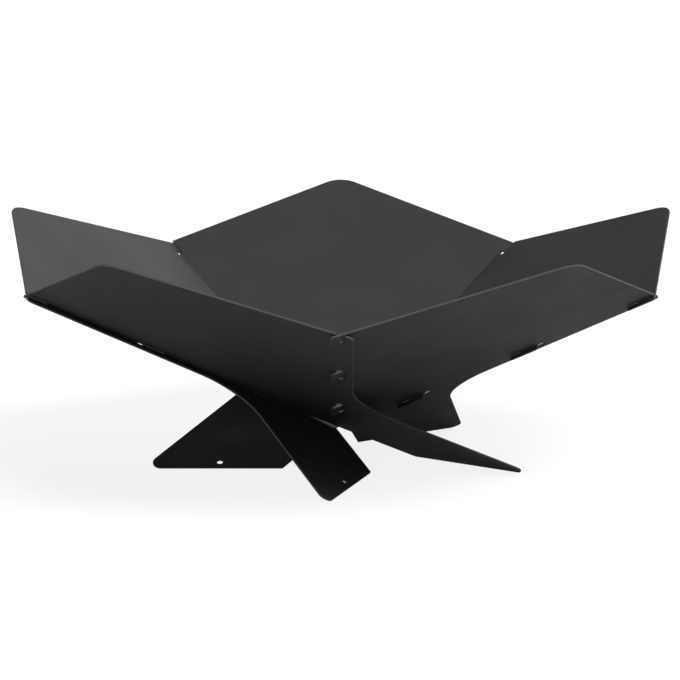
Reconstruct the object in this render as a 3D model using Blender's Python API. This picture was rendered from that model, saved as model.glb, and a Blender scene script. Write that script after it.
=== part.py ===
"""Plug-together fire basket: five equal flat steel sheets that hook into one another.

Every sheet is one flat laser-cut blank: a kite-shaped panel of the bowl with a leg on one side.
The panels lie in the five side planes of an upside-down pyramid whose point is the apex, just
above the ground. Along each seam one sheet runs on past its neighbour as a narrow fin with three
slots, and the neighbour's edge stands on its inner face and reaches through those slots with
three hooks. Each leg passes under the next panel and stands on its foot edge.
"""
import math

import bpy
import numpy as np

# The bowl
SHEET_NAMES = ("front_left_sheet", "front_right_sheet", "right_sheet", "back_sheet", "left_sheet")
FIRST_AZIMUTH = math.radians(-36.0)
SLOPE = math.radians(30.6)
SEAM_LENGTH = 0.350
APEX_HEIGHT = 0.030
SHEET = 0.002
PEAK_RADIUS = 0.030

# The fin beside the slots
FIN_WIDTH = 0.012
FIN_CORNER = 0.005

# The leg and its foot
LEG_ANGLE = math.radians(50.6)
LEG_WIDTH = 0.106
LEG_FROM_APEX = 0.008
ARMPIT_RADIUS = 0.063
TOE_RADIUS = 0.008
HEEL_RADIUS = 0.002
PEG_HOLE = 0.006
PEG_FROM_FOOT = 0.008

# The hooks and the slots that take them
HOOKS = 3
HOOK_PITCH = 0.1267
HOOK_NECK = 0.0215
HOOK_LENGTH = 0.0295
HOOK_REACH = 0.009
HOOK_CORNER = 0.002
RELIEF = 0.006
SLOT_OVER_HOOK = 0.0085
SEAT_GAP = 0.0003
SLOT_GAP = 0.0006

# The black powder coat
COAT_COLOUR = (0.030, 0.030, 0.032, 1.0)
COAT_ROUGHNESS = 0.55
COAT_METALLIC = 0.0

# How closely an arc's facets follow it
CHORD_ERROR = 0.00005

# Angles that follow from the number of sheets and their slope
TURN = 2.0 * math.pi / len(SHEET_NAMES)
SEAM_ANGLE = math.atan(math.tan(TURN / 2.0) * math.cos(SLOPE))
CROSSING = math.acos(math.cos(SLOPE) ** 2 + math.sin(SLOPE) ** 2 * math.cos(TURN))


def clear_of_neighbour(gap):
    """Distance from the seam line at which a square-cut edge clears the other sheet by gap."""
    return (SHEET / 2.0 * (1.0 + math.cos(CROSSING)) + gap) / math.sin(CROSSING)


def seam_point(along, beyond, side):
    """Point of the sheet's plane, measured from the apex along a seam and outwards across it.

    side is 1 for the seam with the slots and -1 for the seam with the hooks.
    """
    across = along * math.sin(SEAM_ANGLE) + beyond * math.cos(SEAM_ANGLE)
    up = along * math.cos(SEAM_ANGLE) - beyond * math.sin(SEAM_ANGLE)
    return (side * across, up)


def leg_point(across, up):
    """Point on the leg's line at height up of the sheet, across being its distance from the apex."""
    return ((across - up * math.cos(LEG_ANGLE)) / math.sin(LEG_ANGLE), up)


def foot_height():
    """Place of the foot edge on the slope, where its lower arris touches the ground."""
    return -(APEX_HEIGHT - SHEET / 2.0 * math.cos(SLOPE)) / math.sin(SLOPE)


def leg_meets_seam(across, beyond, side):
    """Crossing of a leg edge and a line that runs beside a seam."""
    leg = np.array([math.sin(LEG_ANGLE), math.cos(LEG_ANGLE)])
    start = np.array(seam_point(0.0, beyond, side))
    step = np.array(seam_point(1.0, beyond, side)) - start
    return tuple(start + step * (across - leg @ start) / (leg @ step))


def relief(along, beyond, depth, side):
    """Corners of a half-round relief of radius beyond, sunk by depth from a square shoulder."""
    radius = abs(beyond)
    return [
        (seam_point(along, beyond, side), 0.0),
        (seam_point(along + depth, beyond, side), radius),
        (seam_point(along + depth, -beyond, side), radius),
        (seam_point(along, -beyond, side), 0.0),
    ]


def slot(top, open_at_rim):
    """Corners of the slot for the hook whose top edge lies at top, down one side and up the other."""
    half = clear_of_neighbour(SLOT_GAP)
    shoulder = top - HOOK_NECK - SEAT_GAP
    corners = [(seam_point(shoulder, -half, 1), 0.0)]
    corners += relief(shoulder, -RELIEF / 2.0, -RELIEF / 2.0, 1)
    corners += [(seam_point(shoulder, half, 1), 0.0)]
    end, radius = (top, 0.0) if open_at_rim else (top + SLOT_OVER_HOOK, half)
    return [(seam_point(end, -half, 1), radius)] + corners + [(seam_point(end, half, 1), radius)]


def hook(top, stand_back):
    """Corners of one hook, from the panel's edge below it, round its nose and back to the edge."""
    shoulder = top - HOOK_NECK
    nose = top - HOOK_LENGTH
    nose_radius = (HOOK_REACH - stand_back) / 2.0
    corners = [(seam_point(shoulder, -stand_back, -1), 0.0)]
    corners += relief(shoulder, -RELIEF / 2.0, RELIEF / 2.0, -1)
    corners += [(seam_point(shoulder, stand_back, -1), 0.0)]
    corners += [(seam_point(nose, stand_back, -1), nose_radius)]
    corners += [(seam_point(nose, HOOK_REACH, -1), nose_radius)]
    corners += [(seam_point(top, HOOK_REACH, -1), HOOK_CORNER)]
    return corners + [(seam_point(top, -stand_back, -1), 0.0)]


def hook_tops():
    """Distances of the hooks' top edges from the apex, the one at the rim first."""
    return [SEAM_LENGTH - HOOK_PITCH * number for number in range(HOOKS)]


def sheet_outline():
    """Corners of the blank, each with its radius, from the peak round the leg to the hooks."""
    stand_back = clear_of_neighbour(SEAT_GAP)
    upper = LEG_FROM_APEX + LEG_WIDTH
    foot = foot_height()
    tops = hook_tops()
    corners = [((0.0, SEAM_LENGTH / math.cos(SEAM_ANGLE)), PEAK_RADIUS)]
    corners += slot(tops[0], True)
    corners += [
        (seam_point(SEAM_LENGTH, FIN_WIDTH, 1), FIN_CORNER),
        (leg_meets_seam(upper, FIN_WIDTH, 1), ARMPIT_RADIUS),
        (leg_point(upper, foot), TOE_RADIUS),
        (leg_point(LEG_FROM_APEX, foot), HEEL_RADIUS),
        (leg_meets_seam(LEG_FROM_APEX, -stand_back, -1), HEEL_RADIUS),
    ]
    for top in reversed(tops):
        corners += hook(top, stand_back)
    return corners[:-1]


def peg_hole():
    """Corners of the round hole for a ground peg, in the middle of the leg just over its foot."""
    middle = leg_point(LEG_FROM_APEX + LEG_WIDTH / 2.0, foot_height() + PEG_FROM_FOOT)
    radius = PEG_HOLE / 2.0
    signs = ((-1, -1), (1, -1), (1, 1), (-1, 1))
    return [((middle[0] + x * radius, middle[1] + y * radius), radius) for x, y in signs]


def rounded(corners):
    """Closed run of points through the corners, with a facetted arc in place of each round one."""
    places = [np.array(place) for place, radius in corners]
    points = []
    for index, (place, radius) in enumerate(corners):
        if radius == 0.0:
            points.append(tuple(place))
            continue
        here = places[index]
        back = places[index - 1] - here
        ahead = places[(index + 1) % len(places)] - here
        back, ahead = back / np.linalg.norm(back), ahead / np.linalg.norm(ahead)
        half = math.acos(float(np.clip(back @ ahead, -1.0, 1.0))) / 2.0
        middle = (back + ahead) / np.linalg.norm(back + ahead)
        centre = here + middle * radius / math.sin(half)
        start = here + back * radius / math.tan(half) - centre
        sweep = math.pi - 2.0 * half
        turn = math.copysign(sweep, ahead[0] * back[1] - ahead[1] * back[0])
        facets = max(2, math.ceil(sweep / (2.0 * math.acos(1.0 - CHORD_ERROR / radius))))
        angles = np.linspace(0.0, turn, facets + 1)
        arc_x = centre[0] + start[0] * np.cos(angles) - start[1] * np.sin(angles)
        arc_y = centre[1] + start[0] * np.sin(angles) + start[1] * np.cos(angles)
        points += list(zip(arc_x, arc_y))
    return distinct(points)


def distinct(points):
    """The points without those that repeat the one before, where two arcs meet."""
    kept = [points[0]]
    for point in points[1:]:
        if math.dist(point, kept[-1]) > CHORD_ERROR:
            kept.append(point)
    return kept if math.dist(kept[0], kept[-1]) > CHORD_ERROR else kept[:-1]


def blank_curve(loops):
    """One flat curve of the blank, filled between its outline and its holes."""
    curve = bpy.data.curves.new("sheet_blank", "CURVE")
    curve.dimensions = "2D"
    curve.fill_mode = "BOTH"
    curve.extrude = SHEET / 2.0
    for points in loops:
        spline = curve.splines.new("POLY")
        spline.points.add(len(points) - 1)
        spline.use_cyclic_u = True
        for target, (x, y) in zip(spline.points, points):
            target.co = (x, y, 0.0, 1.0)
    return curve


def sheet_rotation(number):
    """Rotation that lays the blank in the plane of the given side, its slope line up and outwards."""
    return (math.pi - SLOPE, 0.0, FIRST_AZIMUTH + TURN * number)


def plan_centre(outline):
    """Middle, seen from above, of the box round all five sheets, measured from the bowl's axis."""
    flat = np.array(outline)
    reach = []
    for number in range(len(SHEET_NAMES)):
        azimuth = sheet_rotation(number)[2]
        for face in (-SHEET / 2.0, SHEET / 2.0):
            outwards = flat[:, 1] * math.cos(SLOPE) + face * math.sin(SLOPE)
            x = flat[:, 0] * math.cos(azimuth) + outwards * math.sin(azimuth)
            y = flat[:, 0] * math.sin(azimuth) - outwards * math.cos(azimuth)
            reach.append(np.column_stack((x, y)))
    reach = np.vstack(reach)
    return (reach.min(axis=0) + reach.max(axis=0)) / 2.0


def black_coat(name):
    """Matte black powder coat of one sheet."""
    material = bpy.data.materials.new(name + "_coat")
    material.use_nodes = True
    shader = material.node_tree.nodes["Principled BSDF"]
    shader.inputs["Base Color"].default_value = COAT_COLOUR
    shader.inputs["Roughness"].default_value = COAT_ROUGHNESS
    shader.inputs["Metallic"].default_value = COAT_METALLIC
    return material


def main():
    """Cut one blank and set five of them round the bowl's axis."""
    for old in list(bpy.data.objects):
        bpy.data.objects.remove(old)
    parts = bpy.data.collections.new("fire_basket")
    bpy.context.scene.collection.children.link(parts)

    outline = rounded(sheet_outline())
    slots = [rounded(slot(top, False)) for top in hook_tops()[1:]]
    curve = blank_curve([outline, rounded(peg_hole())] + slots)
    curve.materials.append(black_coat("sheet_blank"))

    centre = plan_centre(outline)
    apex = bpy.data.objects.new("apex", None)
    apex.location = (-centre[0], -centre[1], APEX_HEIGHT)
    parts.objects.link(apex)
    for number, name in enumerate(SHEET_NAMES):
        sheet = bpy.data.objects.new(name, curve)
        sheet.parent = apex
        sheet.rotation_euler = sheet_rotation(number)
        parts.objects.link(sheet)
        sheet.material_slots[0].link = "OBJECT"
        sheet.material_slots[0].material = black_coat(name)


main()
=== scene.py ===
"""Plug-together fire basket: five coated steel sheets, finely modelled, dressed and lit.

All five sheets are the same flat blank, laid in the five side planes of an upside-down pyramid.
The blank is worked out as cut lines in its own plane, an edge section is carried along each line,
and the flat faces are filled in between. Lengths are in metres.
"""
import logging
import math
from dataclasses import dataclass, field
from enum import Enum
from typing import Iterable

import bpy
import numpy as np
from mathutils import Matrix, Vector
from mathutils.geometry import tessellate_polygon


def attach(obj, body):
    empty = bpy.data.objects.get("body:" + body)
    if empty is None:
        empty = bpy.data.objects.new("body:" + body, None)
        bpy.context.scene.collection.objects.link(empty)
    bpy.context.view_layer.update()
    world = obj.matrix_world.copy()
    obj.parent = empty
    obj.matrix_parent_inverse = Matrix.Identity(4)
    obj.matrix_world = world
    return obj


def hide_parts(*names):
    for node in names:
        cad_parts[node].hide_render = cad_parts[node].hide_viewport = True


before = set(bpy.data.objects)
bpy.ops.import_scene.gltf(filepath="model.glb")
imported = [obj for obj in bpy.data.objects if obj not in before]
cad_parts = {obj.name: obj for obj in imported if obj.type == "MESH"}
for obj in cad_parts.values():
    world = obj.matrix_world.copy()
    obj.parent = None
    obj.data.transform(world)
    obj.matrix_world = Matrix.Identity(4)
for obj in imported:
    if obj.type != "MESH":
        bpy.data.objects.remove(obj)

LOG = logging.getLogger("fire_basket")
BODY = "root"

# How closely the facets of an arc follow it, and how near two points count as one
ARC_ERROR = 0.00001
LEAST_FACETS = 4
SAME_POINT = 0.000001

# Attribute that marks the wall of the cut edge on a plate, where a painted highlight makes the
# colour paler, and how fast it fades over the arris
EDGE_HIGHLIGHT_MARK = "cut_edge_highlight"
WALL_POWER = 8

# Range that a noise texture keeps to for nearly all of its surface
NOISE_LOW, NOISE_HIGH = 0.3, 0.7

Colour = tuple[float, float, float]
Tree = bpy.types.NodeTree
Socket = bpy.types.NodeSocket


class Seam(Enum):
    """The two seams of a sheet, with the sign of their side."""

    SLOTS = 1.0
    HOOKS = -1.0


@dataclass(frozen=True)
class BlankSizes:
    """Sizes of the flat blank in metres and radians, the same as in the solids.

    Three are added here: cut_corner, the radius left in a sharp cut corner, arris, the round on
    both edges of the cut wall, and rest_gap, by which a panel's edge clears its neighbour's face.
    """

    # The bowl
    sheets: int = 5
    slope: float = math.radians(30.6)
    seam_length: float = 0.350
    apex_height: float = 0.030
    sheet: float = 0.002
    peak_radius: float = 0.030

    # The fin beside the slots
    fin_width: float = 0.012
    fin_corner: float = 0.005

    # The leg and its foot
    leg_angle: float = math.radians(50.6)
    leg_width: float = 0.106
    leg_from_apex: float = 0.008
    armpit_radius: float = 0.063
    toe_radius: float = 0.008
    heel_radius: float = 0.002
    peg_hole: float = 0.006
    peg_from_foot: float = 0.008

    # The hooks and the slots that take them
    hooks: int = 3
    hook_pitch: float = 0.1267
    hook_neck: float = 0.0215
    hook_length: float = 0.0295
    hook_reach: float = 0.009
    hook_corner: float = 0.002
    relief: float = 0.006
    slot_over_hook: float = 0.0085
    seat_gap: float = 0.0003
    slot_gap: float = 0.0006
    rest_gap: float = 0.00004

    # The cut edge
    cut_corner: float = 0.00035
    arris: float = 0.0003

    @property
    def turn(self) -> float:
        """Angle between two neighbouring sheets, seen from above."""
        return 2.0 * math.pi / self.sheets

    @property
    def seam_angle(self) -> float:
        """Angle in the sheet's plane between its slope line and either seam."""
        return math.atan(math.tan(self.turn / 2.0) * math.cos(self.slope))

    @property
    def crossing(self) -> float:
        """Angle between the planes of two neighbouring sheets."""
        cosine = math.cos(self.slope) ** 2 + math.sin(self.slope) ** 2 * math.cos(self.turn)
        return math.acos(cosine)

    @property
    def stand_back(self) -> float:
        """Distance from the seam at which a panel's rounded arris rests over its neighbour."""
        saved = self.arris * (math.sin(self.crossing) + math.cos(self.crossing) - 1.0)
        return self.clear_of_neighbour(self.rest_gap - saved)

    def clear_of_neighbour(self, gap: float) -> float:
        """Distance from the seam at which a square-cut edge clears the other sheet by gap."""
        half = self.sheet / 2.0 * (1.0 + math.cos(self.crossing))
        return (half + gap) / math.sin(self.crossing)


@dataclass(frozen=True)
class CutLine:
    """Closed cut line of the blank, run with the metal on its left.

    The normals are of unit length, lie in the sheet's plane and point out of the metal.
    """

    points: np.ndarray
    normals: np.ndarray

    @staticmethod
    def through(corners: np.ndarray, smallest: float, hole: bool) -> "CutLine":
        """Run an arc through every corner of a closed polygon.

        Each arc touches the two sides of its corner: its centre lies on their bisector at the
        radius over the sine of half the corner's angle, and its points are the start radius
        turned step by step through the supplement of that angle.

        Args:
            corners: one row for each corner, with x, y and radius.
            smallest: radius given to the corners that have none.
            hole: True where the metal lies outside the polygon.

        Returns:
            The closed line, without the points that repeat where two arcs meet.
        """
        places = corners[:, :2]
        radii = np.maximum(corners[:, 2], smallest)
        back = np.roll(places, 1, axis=0) - places
        ahead = np.roll(places, -1, axis=0) - places
        anticlockwise = np.sum(places[:, 0] * ahead[:, 1] - places[:, 1] * ahead[:, 0]) > 0.0
        back /= np.linalg.norm(back, axis=1, keepdims=True)
        ahead /= np.linalg.norm(ahead, axis=1, keepdims=True)
        half = np.arccos(np.clip(np.sum(back * ahead, axis=1), -1.0, 1.0)) / 2.0
        middle = back + ahead
        middle /= np.linalg.norm(middle, axis=1, keepdims=True)
        centres = places + middle * (radii / np.sin(half))[:, None]
        starts = places + back * (radii / np.tan(half))[:, None] - centres
        sweeps = np.pi - 2.0 * half
        turns = np.copysign(sweeps, ahead[:, 0] * back[:, 1] - ahead[:, 1] * back[:, 0])
        finest = 2.0 * np.arccos(1.0 - ARC_ERROR / radii)
        facets = np.maximum(LEAST_FACETS, np.ceil(sweeps / finest)).astype(int)

        corner = np.repeat(np.arange(len(places)), facets + 1)
        first = np.cumsum(facets + 1) - (facets + 1)
        angle = turns[corner] * (np.arange(len(corner)) - first[corner]) / facets[corner]
        cosine, sine = np.cos(angle), np.sin(angle)
        x, y = starts[corner, 0], starts[corner, 1]
        radial = np.column_stack((x * cosine - y * sine, x * sine + y * cosine))
        points = centres[corner] + radial

        metal_inside = anticlockwise != hole
        outwards = np.sign(turns) * (1.0 if metal_inside else -1.0) / radii
        normals = radial * outwards[corner, None]
        distinct = np.linalg.norm(points - np.roll(points, 1, axis=0), axis=1) > SAME_POINT
        run = slice(None, None, 1 if metal_inside else -1)
        return CutLine(points[distinct][run], normals[distinct][run])


@dataclass(frozen=True)
class EdgeSection:
    """Section across the cut edge: a square wall with a small round on both arrises."""

    thickness: float
    arris: float
    steps: int = 4

    def turned(self) -> tuple[np.ndarray, np.ndarray]:
        """Work out the section from the inner face, round the edge, to the outer face.

        Each round is a quarter circle of the arris' radius, and the wall joins the two.

        Returns:
            Offsets and normals, one row for each point. The first column runs out of the metal
            in the sheet's plane and the second along the sheet's own outer normal.
        """
        angle = np.linspace(0.0, np.pi / 2.0, self.steps + 1)
        out = np.concatenate((np.sin(angle), np.cos(angle)))
        up = np.concatenate((-np.cos(angle), np.sin(angle)))
        wall = self.thickness / 2.0 - self.arris
        side = np.repeat((-wall, wall), self.steps + 1)
        offsets = np.column_stack(((out - 1.0) * self.arris, up * self.arris + side))
        return offsets, np.column_stack((out, up))


@dataclass(frozen=True)
class EdgeBand:
    """Edge section carried round one cut line, as a grid with one row for each section point.

    The first row bounds the sheet's inner face and the last row its outer face.
    """

    places: np.ndarray
    normals: np.ndarray

    @staticmethod
    def carried(section: EdgeSection, line: CutLine) -> "EdgeBand":
        """Carry the section round the line.

        Each point of the band is the line's point, moved along its normal by the section's first
        offset and lifted off the sheet's middle by the second.

        Args:
            section: the section across the cut edge.
            line: the cut line.

        Returns:
            The band.
        """
        offsets, slants = section.turned()
        shape = (len(offsets), len(line.points), 1)
        flat = line.points + line.normals * offsets[:, None, :1]
        lift = np.broadcast_to(offsets[:, None, 1:], shape)
        sideways = line.normals * slants[:, None, :1]
        upright = np.broadcast_to(slants[:, None, 1:], shape)
        return EdgeBand(
            np.concatenate((flat, lift), axis=2), np.concatenate((sideways, upright), axis=2)
        )

    @property
    def rows(self) -> int:
        """Number of points across the edge."""
        return self.places.shape[0]

    @property
    def count(self) -> int:
        """Number of points round the line."""
        return self.places.shape[1]

    def ring(self, row: int) -> np.ndarray:
        """Indices of the points of one row, in the order of the line."""
        return row * self.count + np.arange(self.count)

    def quads(self) -> np.ndarray:
        """Faces between neighbouring points, facing out of the metal."""
        return ring_quads(self.rows, self.count)


class Blank:
    """The flat laser-cut blank that all five sheets share.

    Points are measured in the sheet's plane from the apex: x across and y up the slope.
    """

    def __init__(self, sizes: BlankSizes) -> None:
        """Keep the sizes and cut the outline and the holes.

        Args:
            sizes: the blank's sizes.
        """
        self.sizes = sizes
        self.outline = CutLine.through(self.outline_corners(), sizes.cut_corner, False)
        self.holes = [
            CutLine.through(corners, sizes.cut_corner, True) for corners in self.openings()
        ]

    def seam_corner(
        self, along: float, beyond: float, seam: Seam, radius: float = 0.0
    ) -> np.ndarray:
        """Corner measured along a seam from the apex and outwards across it.

        Both distances are turned by the seam's angle, and the seam's side gives x its sign.

        Args:
            along: distance up the seam.
            beyond: distance outwards past the seam line.
            seam: which of the two seams.
            radius: radius of the corner.

        Returns:
            Its x, y and radius in one row.
        """
        angle = self.sizes.seam_angle
        across = along * math.sin(angle) + beyond * math.cos(angle)
        up = along * math.cos(angle) - beyond * math.sin(angle)
        return np.array([[seam.value * across, up, radius]])

    def leg_corner(self, across: float, up: float, radius: float) -> np.ndarray:
        """Corner on a long edge of the leg.

        The edge holds the points whose x sin(angle) + y cos(angle) is its distance from the apex.

        Args:
            across: distance of the edge from the apex.
            up: height of the corner on the slope.
            radius: radius of the corner.

        Returns:
            Its x, y and radius in one row.
        """
        angle = self.sizes.leg_angle
        x = (across - up * math.cos(angle)) / math.sin(angle)
        return np.array([[x, up, radius]])

    def leg_meets_seam(self, across: float, beyond: float, seam: Seam, radius: float) -> np.ndarray:
        """Corner where a long edge of the leg crosses a line beside a seam.

        It is the line's start plus its direction times the distance left to the leg's edge.

        Args:
            across: distance of the leg's edge from the apex.
            beyond: distance of the line outwards past the seam line.
            seam: which of the two seams.
            radius: radius of the corner.

        Returns:
            Its x, y and radius in one row.
        """
        start = self.seam_corner(0.0, beyond, seam)[0, :2]
        step = self.seam_corner(1.0, beyond, seam)[0, :2] - start
        leg = np.array([math.sin(self.sizes.leg_angle), math.cos(self.sizes.leg_angle)])
        x, y = start + step * (across - leg @ start) / (leg @ step)
        return np.array([[x, y, radius]])

    def foot_height(self) -> float:
        """Work out where the foot edge lies.

        Its lower arris touches the ground where the slope has dropped by the apex's height, less
        half the sheet's thickness measured upright.

        Returns:
            Its place on the slope, below the apex.
        """
        sizes = self.sizes
        drop = sizes.apex_height - sizes.sheet / 2.0 * math.cos(sizes.slope)
        return -drop / math.sin(sizes.slope)

    def slot(self, top: float, open_at_rim: bool) -> np.ndarray:
        """Corners of the slot that takes the hook whose top edge lies at top.

        Args:
            top: distance of the hook's top edge from the apex.
            open_at_rim: True for the slot that runs out at the rim.

        Returns:
            One row for each corner, down one side, round the relief and up the other side.
        """
        sizes = self.sizes
        wide = sizes.clear_of_neighbour(sizes.slot_gap)
        shoulder = top - sizes.hook_neck - sizes.seat_gap
        relief, arc = sizes.relief / 2.0, sizes.relief / 2.0 - sizes.cut_corner
        end, radius = (top, 0.0) if open_at_rim else (top + sizes.slot_over_hook, wide)
        return np.vstack((
            self.seam_corner(end, -wide, Seam.SLOTS, radius),
            self.seam_corner(shoulder, -wide, Seam.SLOTS),
            self.seam_corner(shoulder, -relief, Seam.SLOTS),
            self.seam_corner(shoulder - relief, -relief, Seam.SLOTS, arc),
            self.seam_corner(shoulder - relief, relief, Seam.SLOTS, arc),
            self.seam_corner(shoulder, relief, Seam.SLOTS),
            self.seam_corner(shoulder, wide, Seam.SLOTS),
            self.seam_corner(end, wide, Seam.SLOTS, radius),
        ))

    def hook(self, top: float) -> np.ndarray:
        """Corners of one hook.

        Args:
            top: distance of the hook's top edge from the apex.

        Returns:
            One row for each corner, up the panel's edge below the hook, round the relief in its
            neck, round its nose and back to the panel's edge above it.
        """
        sizes = self.sizes
        edge, clear = -sizes.stand_back, sizes.clear_of_neighbour(sizes.seat_gap)
        shoulder, nose = top - sizes.hook_neck, top - sizes.hook_length
        relief, arc = sizes.relief / 2.0, sizes.relief / 2.0 - sizes.cut_corner
        nose_radius = (sizes.hook_reach - clear) / 2.0
        return np.vstack((
            self.seam_corner(shoulder + relief, edge, Seam.HOOKS, arc),
            self.seam_corner(shoulder + relief, relief, Seam.HOOKS, arc),
            self.seam_corner(shoulder, relief, Seam.HOOKS),
            self.seam_corner(shoulder, clear, Seam.HOOKS),
            self.seam_corner(nose, clear, Seam.HOOKS, nose_radius),
            self.seam_corner(nose, sizes.hook_reach, Seam.HOOKS, nose_radius),
            self.seam_corner(top, sizes.hook_reach, Seam.HOOKS, sizes.hook_corner),
            self.seam_corner(top, edge, Seam.HOOKS),
        ))

    def hook_tops(self) -> list[float]:
        """Distances of the hooks' top edges from the apex, the one at the rim first."""
        sizes = self.sizes
        return [sizes.seam_length - sizes.hook_pitch * number for number in range(sizes.hooks)]

    def outline_corners(self) -> np.ndarray:
        """Work out the corners of the outline.

        Returns:
            One row for each corner, from the peak down the slots' side, round the leg and up the
            hooks' side. The rim runs straight on into the top edge of the last hook, so that
            hook's last corner is left out.
        """
        sizes = self.sizes
        upper = sizes.leg_from_apex + sizes.leg_width
        foot = self.foot_height()
        edge = -sizes.stand_back
        tops = self.hook_tops()
        peak = sizes.seam_length / math.cos(sizes.seam_angle)
        rows = [
            np.array([[0.0, peak, sizes.peak_radius]]),
            self.slot(tops[0], True),
            self.seam_corner(sizes.seam_length, sizes.fin_width, Seam.SLOTS, sizes.fin_corner),
            self.leg_meets_seam(upper, sizes.fin_width, Seam.SLOTS, sizes.armpit_radius),
            self.leg_corner(upper, foot, sizes.toe_radius),
            self.leg_corner(sizes.leg_from_apex, foot, sizes.heel_radius),
            self.leg_meets_seam(sizes.leg_from_apex, edge, Seam.HOOKS, sizes.heel_radius),
        ]
        rows += [self.hook(top) for top in reversed(tops)]
        return np.vstack(rows)[:-1]

    def openings(self) -> list[np.ndarray]:
        """Work out the corners of the holes.

        Returns:
            Those of the closed slots, then the square whose four arcs make the round peg hole.
        """
        sizes = self.sizes
        radius = sizes.peg_hole / 2.0
        square = np.array([[-1.0, -1.0, 1.0], [1.0, -1.0, 1.0], [1.0, 1.0, 1.0], [-1.0, 1.0, 1.0]])
        leg_middle = sizes.leg_from_apex + sizes.leg_width / 2.0
        middle = self.leg_corner(leg_middle, self.foot_height() + sizes.peg_from_foot, 0.0)
        return [self.slot(top, False) for top in self.hook_tops()[1:]] + [middle + radius * square]


@dataclass(frozen=True)
class SheetPlace:
    """Where one sheet stands round the bowl's axis, with the name that it carries."""

    node: str
    azimuth: float

    def basis(self, slope: float) -> np.ndarray:
        """Work out how the sheet lies in the row frame.

        The level direction across is turned by the azimuth, and the other two are tilted by the
        slope from the horizontal and from straight down.

        Args:
            slope: angle between the sheet and the ground.

        Returns:
            Matrix whose rows are the sheet's across, up-slope and outer-normal directions.
        """
        cosine, sine = math.cos(self.azimuth), math.sin(self.azimuth)
        level, rise = math.cos(slope), math.sin(slope)
        return np.array([
            [cosine, sine, 0.0],
            [level * sine, -level * cosine, rise],
            [rise * sine, -rise * cosine, -level],
        ])


@dataclass(frozen=True)
class PowderCoat:
    """Matte black powder coat: its colour, its gloss and the fine peel of the cured powder.

    The cut edge is painted paler, a painted highlight for the light that its arrises catch. The
    clouds are slow changes of colour and gloss, and the peel is a fine bump. Scales are in noise
    cells for each metre.
    """

    colour: Colour = (0.0320, 0.0302, 0.0330)
    # Paler colour of the cut edge: a painted highlight for the light that the arrises catch
    edge_highlight_colour: Colour = (0.0660, 0.0638, 0.0672)
    roughness: float = 0.60
    roughness_swing: float = 0.05
    specular: float = 0.04
    cloud_scale: float = 14.0
    cloud_detail: float = 3.0
    cloud_share: float = 0.06
    peel_scale: float = 620.0
    peel_detail: float = 2.0
    peel_height: float = 0.000012

    def material(self, name: str) -> bpy.types.Material:
        """Build the node material.

        The colour is the coat's colour, painted paler on the cut edge as a highlight, times the
        clouds, the roughness follows the same clouds, and the peel tilts the normal.

        Args:
            name: name of the sheet that wears it.

        Returns:
            The material.
        """
        coat = bpy.data.materials.new(name + "_coat")
        coat.use_nodes = True
        tree = coat.node_tree
        shader = tree.nodes["Principled BSDF"]
        clouds = noise(tree, self.cloud_scale, self.cloud_detail)
        # Coat colour with the painted highlight on the cut edge
        tint = self.painted_edge_highlight(tree)
        shade = swing(tree, clouds, 1.0 - self.cloud_share, 1.0 + self.cloud_share)
        shaded = tree.nodes.new("ShaderNodeVectorMath")
        shaded.operation = "SCALE"
        tree.links.new(tint, shaded.inputs[0])
        tree.links.new(shade, shaded.inputs["Scale"])
        tree.links.new(shaded.outputs["Vector"], shader.inputs["Base Color"])
        low, high = self.roughness - self.roughness_swing, self.roughness + self.roughness_swing
        tree.links.new(swing(tree, clouds, low, high), shader.inputs["Roughness"])
        shader.inputs["Specular IOR Level"].default_value = self.specular
        tree.links.new(self.peel(tree), shader.inputs["Normal"])
        return coat

    def painted_edge_highlight(self, tree: Tree) -> Socket:
        """Add the nodes that paint a highlight on the cut edge, as a paler colour.

        Args:
            tree: the material's nodes.

        Returns:
            The socket that gives the coat's colour with the painted highlight on the edge.
        """
        edge = tree.nodes.new("ShaderNodeAttribute")
        edge.attribute_name = EDGE_HIGHLIGHT_MARK
        tint = tree.nodes.new("ShaderNodeMix")
        tint.data_type = "RGBA"
        tint.inputs["A"].default_value = (*self.colour, 1.0)
        tint.inputs["B"].default_value = (*self.edge_highlight_colour, 1.0)
        tree.links.new(edge.outputs["Fac"], tint.inputs["Factor"])
        return tint.outputs["Result"]

    def peel(self, tree: Tree) -> Socket:
        """Add the nodes of the fine bump.

        Args:
            tree: the material's nodes.

        Returns:
            The socket that gives the tilted normal.
        """
        bump = tree.nodes.new("ShaderNodeBump")
        bump.inputs["Distance"].default_value = self.peel_height
        tree.links.new(noise(tree, self.peel_scale, self.peel_detail), bump.inputs["Height"])
        return bump.outputs["Normal"]


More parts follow.
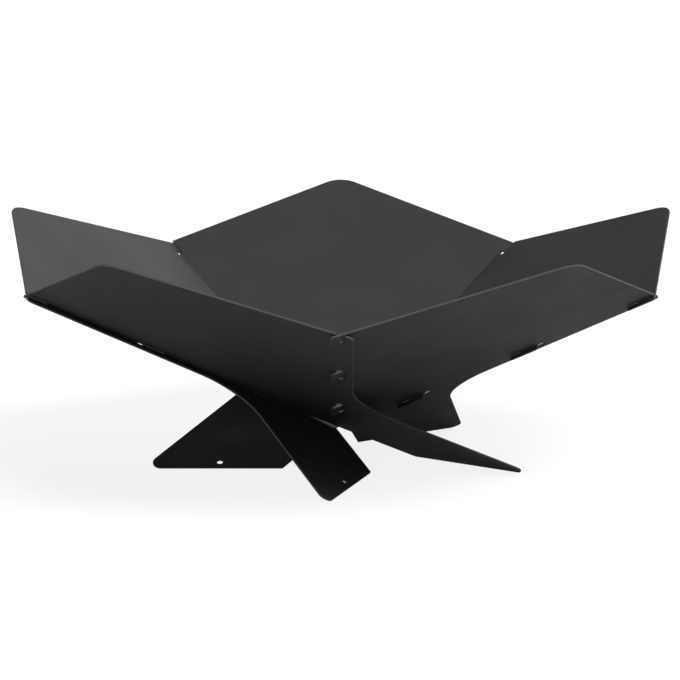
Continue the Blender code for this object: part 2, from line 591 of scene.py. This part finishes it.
class CoatedSheet:
    """One sheet of the basket: the blank with rounded arrises, laid in its plane and coated."""

    def __init__(self, blank: Blank, place: SheetPlace, apex: np.ndarray) -> None:
        """Keep what the sheet is made from.

        Args:
            blank: the blank that all sheets share.
            place: where the sheet stands.
            apex: the lowest point of the bowl's planes in the row frame.
        """
        self.place = place
        self.apex = apex
        self.basis = place.basis(blank.sizes.slope)
        section = EdgeSection(blank.sizes.sheet, blank.sizes.arris)
        self.bands = [EdgeBand.carried(section, line) for line in (blank.outline, *blank.holes)]

    def faces(self) -> list[list[int]]:
        """Join the quads of all bands with the two flat faces that the bands bound.

        Returns:
            One list of indices for each face, counted through all bands.
        """
        sizes = [band.rows * band.count for band in self.bands]
        numbered = list(zip(self.bands, np.cumsum(sizes) - sizes))
        quads = np.vstack([band.quads() + first for band, first in numbered])
        inner = np.concatenate([band.ring(0) + first for band, first in numbered])
        outer = np.concatenate([band.ring(band.rows - 1) + first for band, first in numbered])
        triangles = filled([band.places[0] for band in self.bands])
        return quads.tolist() + inner[triangles[:, ::-1]].tolist() + outer[triangles].tolist()

    def plate(self) -> bpy.types.Mesh:
        """Make the closed mesh in the row frame, with exact normals and the edge marked.

        The mark, which places the painted edge highlight, is the normal's share in the sheet's
        plane to a high power, so it is 1 on the wall of the cut edge and falls to 0 over the arris.

        Returns:
            The mesh.
        """
        places = np.vstack([band.places.reshape(-1, 3) for band in self.bands])
        normals = np.vstack([band.normals.reshape(-1, 3) for band in self.bands])
        # Mask of the painted edge highlight
        edge_highlight_mask = np.hypot(normals[:, 0], normals[:, 1]) ** WALL_POWER
        name = self.place.node + "_plate"
        mesh = smooth_mesh(name, places @ self.basis + self.apex, self.faces())
        mesh.normals_split_custom_set_from_vertices((normals @ self.basis).tolist())
        mark = mesh.attributes.new(EDGE_HIGHLIGHT_MARK, "FLOAT", "POINT")
        mark.data.foreach_set("value", edge_highlight_mask.astype(np.float32))
        return mesh

    def build(self, coat: PowderCoat) -> bpy.types.Object:
        """Model the sheet, dress it and let it stand for its CAD node.

        Args:
            coat: the finish.

        Returns:
            The finished object.
        """
        mesh = self.plate()
        mesh.materials.append(coat.material(self.place.node))
        plate = in_scene(mesh)
        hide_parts(self.place.node)
        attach(plate, BODY)
        return plate


@dataclass(frozen=True)
class FireBasket:
    """The whole basket: five equal sheets round one upright axis."""

    sizes: BlankSizes = field(default_factory=BlankSizes)
    coat: PowderCoat = field(default_factory=PowderCoat)
    nodes: tuple[str, ...] = (
        "front_left_sheet", "front_right_sheet", "right_sheet", "back_sheet", "left_sheet",
    )
    first_azimuth: float = math.radians(-36.0)

    def places(self) -> list[SheetPlace]:
        """The five places, one turn of the bowl apart, in the order of their names."""
        turn = self.sizes.turn
        return [
            SheetPlace(node, self.first_azimuth + turn * number)
            for number, node in enumerate(self.nodes)
        ]

    def apex(self, blank: Blank) -> np.ndarray:
        """Work out where the bowl's apex stands, with the middle of the outer box at the origin.

        Args:
            blank: the blank that all sheets share.

        Returns:
            The apex in the row frame.
        """
        half = self.sizes.sheet / 2.0
        outline = blank.outline.points
        faces = [
            np.column_stack((outline, np.full(len(outline), height))) for height in (-half, half)
        ]
        bases = [place.basis(self.sizes.slope) for place in self.places()]
        reach = np.vstack([face @ basis for face in faces for basis in bases])
        middle = (reach.min(axis=0) + reach.max(axis=0)) / 2.0
        return np.array([-middle[0], -middle[1], self.sizes.apex_height])

    def build(self, blank: Blank, apex: np.ndarray) -> list[bpy.types.Object]:
        """Build the five sheets.

        Args:
            blank: the blank that all sheets share.
            apex: the apex in the row frame.

        Returns:
            The finished sheets, in the order of their names.
        """
        return [CoatedSheet(blank, place, apex).build(self.coat) for place in self.places()]


@dataclass(frozen=True)
class SoftLamp:
    """A broad even light from one direction, as from a large softbox far away.

    The azimuth runs anticlockwise from +X, and the spread is the softbox's width, all in degrees.
    """

    name: str
    azimuth: float
    elevation: float
    spread: float
    strength: float
    distance: float = 3.0

    def build(self) -> None:
        """Hang the lamp so that it shines at the object from its direction."""
        lamp = bpy.data.lights.new(self.name, "SUN")
        lamp.angle = math.radians(self.spread)
        lamp.energy = self.strength
        stand = in_scene(lamp)
        turn, rise = math.radians(self.azimuth), math.radians(self.elevation)
        level = math.cos(rise)
        direction = Vector((math.cos(turn) * level, math.sin(turn) * level, math.sin(rise)))
        stand.location = self.distance * direction
        stand.rotation_euler = (-stand.location).to_track_quat("-Z", "Y").to_euler()


@dataclass(frozen=True)
class Cove:
    """Pale floor that sweeps up into a low round backdrop, in one turned surface.

    The flat part has rings at the given shares of its radius. The camera sees the paper with a
    large share of plain white light in it, and reflections see it with a small share.
    """

    radius: float = 18.0
    sweep: float = 1.5
    height: float = 4.5
    flat_rings: tuple[float, ...] = (0.25, 0.6)
    turn_steps: int = 96
    sweep_steps: int = 12
    colour: Colour = (0.35, 0.35, 0.35)
    white: Colour = (0.92, 0.92, 0.92)
    camera_share: float = 0.85
    gloss_share: float = 0.20

    def build(self) -> None:
        """Turn the profile round the upright axis.

        The profile runs level from the middle to the sweep, follows a quarter circle and goes
        straight up. Each of its points, at radius r and height z, becomes the ring of points
        r cos(a), r sin(a), z for a from 0 to a full turn.
        """
        bend = np.linspace(0.0, np.pi / 2.0, self.sweep_steps + 1)
        flat = self.radius - self.sweep
        level = np.multiply(self.flat_rings, flat)
        radii = np.concatenate((level, flat + self.sweep * np.sin(bend), [self.radius]))
        lift = self.sweep * (1.0 - np.cos(bend))
        heights = np.concatenate((np.zeros(len(level)), lift, [self.height]))
        angles = np.linspace(0.0, 2.0 * np.pi, self.turn_steps, endpoint=False)
        x, y = np.outer(radii, np.cos(angles)), np.outer(radii, np.sin(angles))
        rings = np.stack((x, y, np.broadcast_to(heights[:, None], x.shape)), axis=-1)
        facing_in = ring_quads(len(radii), len(angles))[:, [0, 3, 2, 1]]
        middle = list(range(len(angles)))
        mesh = smooth_mesh("floor", rings.reshape(-1, 3), facing_in.tolist() + [middle])
        mesh.materials.append(self.paper())
        in_scene(mesh)

    def paper(self) -> bpy.types.Material:
        """Pale paper that the camera and the reflections see white, with the shadow kept.

        Those rays meet white paper with a share of plain white light in it, and all other rays
        meet the paper's own pale grey.

        Returns:
            The material.
        """
        material = bpy.data.materials.new("floor_paper")
        material.use_nodes = True
        tree = material.node_tree
        tree.nodes.clear()
        rays = tree.nodes.new("ShaderNodeLightPath")
        camera = rays.outputs["Is Camera Ray"]
        glossy, through = rays.outputs["Is Glossy Ray"], rays.outputs["Is Transmission Ray"]
        reflected = combined(tree, "MAXIMUM", glossy, through)
        tone = tree.nodes.new("ShaderNodeMix")
        tone.data_type = "RGBA"
        tone.inputs["A"].default_value = (*self.colour, 1.0)
        tone.inputs["B"].default_value = (*self.white, 1.0)
        tree.links.new(combined(tree, "MAXIMUM", camera, reflected), tone.inputs["Factor"])
        paper = tree.nodes.new("ShaderNodeBsdfDiffuse")
        tree.links.new(tone.outputs["Result"], paper.inputs["Color"])
        light = tree.nodes.new("ShaderNodeEmission")
        seen_share = combined(tree, "MULTIPLY", camera, self.camera_share)
        gloss_share = combined(tree, "MULTIPLY", reflected, self.gloss_share)
        mix = tree.nodes.new("ShaderNodeMixShader")
        tree.links.new(combined(tree, "MAXIMUM", seen_share, gloss_share), mix.inputs[0])
        tree.links.new(paper.outputs["BSDF"], mix.inputs[1])
        tree.links.new(light.outputs["Emission"], mix.inputs[2])
        output = tree.nodes.new("ShaderNodeOutputMaterial")
        tree.links.new(mix.outputs["Shader"], output.inputs["Surface"])
        return material


@dataclass(frozen=True)
class PhotoCamera:
    """The camera of the photograph, fitted to the corners of the sheets.

    It looks at the ground under the bowl's apex. The focal length and the point of the picture
    that it looks at straight on are in the photograph's pixels.
    """

    elevation: float = math.radians(12.645743716)
    distance: float = 2.7223
    photo_pixels: float = 680.0
    focal_pixels: float = 2712.441509
    centre_x: float = 340.758
    centre_y: float = 457.892
    sensor_width: float = 36.0

    def build(self, apex: np.ndarray) -> None:
        """Put the camera on the upright plane through the bowl's axis and the front seam.

        Args:
            apex: the apex in the row frame.
        """
        lens = bpy.data.cameras.new("photo_camera")
        lens.sensor_width = self.sensor_width
        lens.lens = self.focal_pixels / self.photo_pixels * self.sensor_width
        lens.shift_x = 0.5 - self.centre_x / self.photo_pixels
        lens.shift_y = self.centre_y / self.photo_pixels - 0.5
        camera = in_scene(lens)
        back, up = math.cos(self.elevation), math.sin(self.elevation)
        camera.location = (apex[0], apex[1] - self.distance * back, self.distance * up)
        camera.rotation_euler = (math.pi / 2.0 - self.elevation, 0.0, 0.0)
        bpy.context.scene.camera = camera


@dataclass(frozen=True)
class Studio:
    """Pale cove, soft light and the camera of the photograph."""

    camera: PhotoCamera = field(default_factory=PhotoCamera)
    cove: Cove = field(default_factory=Cove)
    sky_colour: Colour = (1.0, 1.0, 1.0)
    sky_level: float = 0.02
    lamps: tuple[SoftLamp, ...] = (
        SoftLamp("front_right_lamp", azimuth=315.0, elevation=60.0, spread=30.0, strength=3.30),
        SoftLamp("right_lamp", azimuth=335.0, elevation=45.0, spread=24.0, strength=1.10),
        SoftLamp("back_right_lamp", azimuth=45.0, elevation=35.0, spread=30.0, strength=0.90),
        SoftLamp("low_back_lamp", azimuth=67.0, elevation=25.0, spread=30.0, strength=0.90),
        SoftLamp("low_front_left_lamp", azimuth=225.0, elevation=12.0, spread=50.0, strength=2.30),
    )

    def build(self, apex: np.ndarray) -> None:
        """Set the camera, the floor, the lamps and the sky.

        Args:
            apex: the apex in the row frame.
        """
        self.camera.build(apex)
        self.cove.build()
        for lamp in self.lamps:
            lamp.build()
        world = bpy.data.worlds.new("studio")
        world.use_nodes = True
        sky = world.node_tree.nodes["Background"]
        sky.inputs["Color"].default_value = (*self.sky_colour, 1.0)
        sky.inputs["Strength"].default_value = self.sky_level
        bpy.context.scene.world = world
        bpy.context.scene.view_settings.view_transform = "Standard"


def ring_quads(rows: int, count: int) -> np.ndarray:
    """Join neighbouring points of a run of closed rings.

    The face at a point takes in the next point of its ring, and the two that lie beside them on
    the next ring.

    Args:
        rows: number of rings.
        count: number of points in each ring.

    Returns:
        One row of four indices for each face.
    """
    row, column = np.meshgrid(np.arange(rows - 1), np.arange(count), indexing="ij")
    here = row * count + column
    beside = row * count + (column + 1) % count
    return np.stack((here, beside, beside + count, here + count), axis=-1).reshape(-1, 4)


def filled(rims: list[np.ndarray]) -> np.ndarray:
    """Fill a flat outline with holes.

    Args:
        rims: the points of the closed lines, the outline first.

    Returns:
        Anticlockwise triangles as rows of indices, counted through all rims.
    """
    triangles = np.array(tessellate_polygon([rim * (1.0, 1.0, 0.0) for rim in rims]))
    corners = np.vstack(rims)[triangles]
    facing = np.cross(corners[:, 1] - corners[:, 0], corners[:, 2] - corners[:, 0])[:, 2]
    return np.where(facing[:, None] > 0.0, triangles, triangles[:, ::-1])


def smooth_mesh(name: str, points: np.ndarray, faces: list[list[int]]) -> bpy.types.Mesh:
    """Make a mesh that is shaded smooth.

    Args:
        name: name of the mesh.
        points: one row for each vertex.
        faces: one list of indices for each face.

    Returns:
        The mesh.
    """
    mesh = bpy.data.meshes.new(name)
    mesh.from_pydata(points.tolist(), [], faces)
    mesh.polygons.foreach_set("use_smooth", np.ones(len(mesh.polygons), dtype=bool))
    return mesh


def in_scene(data: bpy.types.ID) -> bpy.types.Object:
    """Put a mesh, a lamp or a lens into the scene.

    Args:
        data: what the object shows.

    Returns:
        An object of the same name at the origin.
    """
    piece = bpy.data.objects.new(data.name, data)
    bpy.context.scene.collection.objects.link(piece)
    return piece


def noise(tree: Tree, scale: float, detail: float) -> Socket:
    """Add a noise texture in object coordinates.

    Args:
        tree: the material's nodes.
        scale: noise cells for each metre.
        detail: number of finer layers on top.

    Returns:
        The socket that gives the noise.
    """
    place = tree.nodes.new("ShaderNodeTexCoord")
    texture = tree.nodes.new("ShaderNodeTexNoise")
    texture.inputs["Scale"].default_value = scale
    texture.inputs["Detail"].default_value = detail
    tree.links.new(place.outputs["Object"], texture.inputs["Vector"])
    return texture.outputs["Fac"]


def swing(tree: Tree, value: Socket, low: float, high: float) -> Socket:
    """Add a node that spreads a noise over a range.

    Args:
        tree: the material's nodes.
        value: the noise.
        low: lower end of the range.
        high: upper end of the range.

    Returns:
        The socket that gives the spread noise.
    """
    node = tree.nodes.new("ShaderNodeMapRange")
    node.inputs["From Min"].default_value = NOISE_LOW
    node.inputs["From Max"].default_value = NOISE_HIGH
    node.inputs["To Min"].default_value = low
    node.inputs["To Max"].default_value = high
    tree.links.new(value, node.inputs["Value"])
    return node.outputs["Result"]


def combined(tree: Tree, operation: str, first: Socket, second: Socket | float) -> Socket:
    """Add a node that combines a value with another value or a number.

    Args:
        tree: the material's nodes.
        operation: name of the sum that the node does.
        first: the value.
        second: the other value or the number.

    Returns:
        The socket that gives the result.
    """
    node = tree.nodes.new("ShaderNodeMath")
    node.operation = operation
    tree.links.new(first, node.inputs[0])
    if isinstance(second, float):
        node.inputs[1].default_value = second
    else:
        tree.links.new(second, node.inputs[1])
    return node.outputs["Value"]


def main() -> None:
    """Build the basket and the studio round it, and report each piece."""
    logging.basicConfig(level=logging.INFO, format="%(message)s")
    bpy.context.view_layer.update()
    basket = FireBasket()
    blank = Blank(basket.sizes)
    apex = basket.apex(blank)
    for plate in basket.build(blank, apex):
        LOG.info("%s: %d faces", plate.name, len(plate.data.polygons))
    studio = Studio()
    studio.build(apex)
    LOG.info("studio: %d lamps", len(studio.lamps))


if __name__ == "__main__":
    main()
